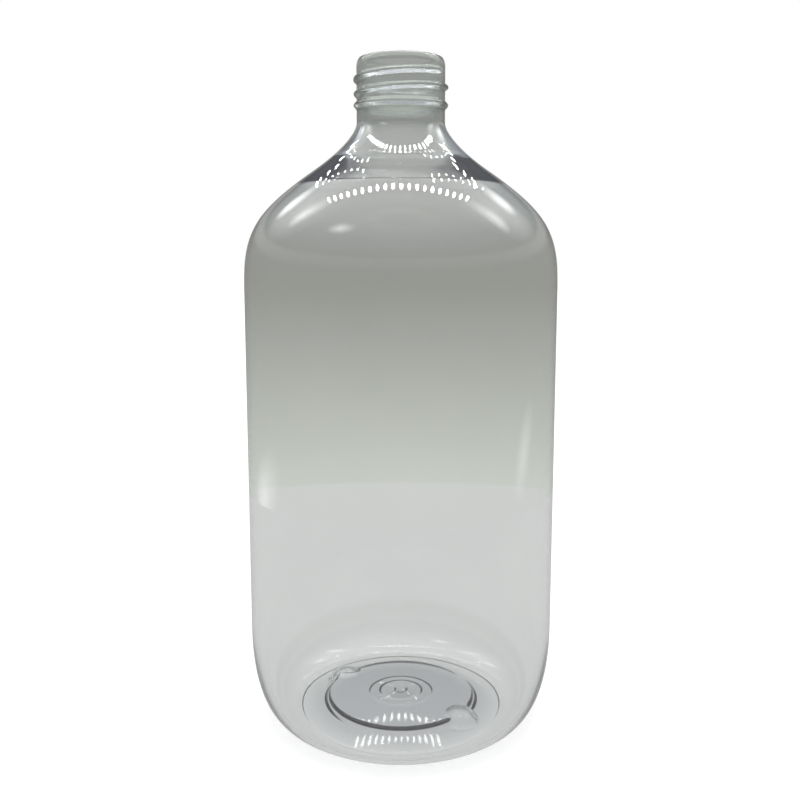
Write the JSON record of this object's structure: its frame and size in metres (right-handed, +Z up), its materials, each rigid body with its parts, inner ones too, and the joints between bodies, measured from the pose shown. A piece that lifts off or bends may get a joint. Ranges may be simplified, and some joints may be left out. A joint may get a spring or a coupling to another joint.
{
  "type": "boston round bottle",
  "caption": "Clear round plastic bottle with a soft shoulder, straight wall, rounded heel and raised base, open at a threaded neck that takes a screw cap, pump or sprayer.",
  "frame": {"origin": "centre of the foot ring, on the surface the bottle stands on", "axes": "+Z up along the bottle's axis, +X and +Y across it; the camera of the picture looks along +Y"},
  "size_m": [0.092, 0.092, 0.197],
  "materials": {
    "clear_plastic": "clear, glossy, blown"
  },
  "bodies": {
    "root": {"bottle": "clear_plastic"}
  },
  "joints": []
}
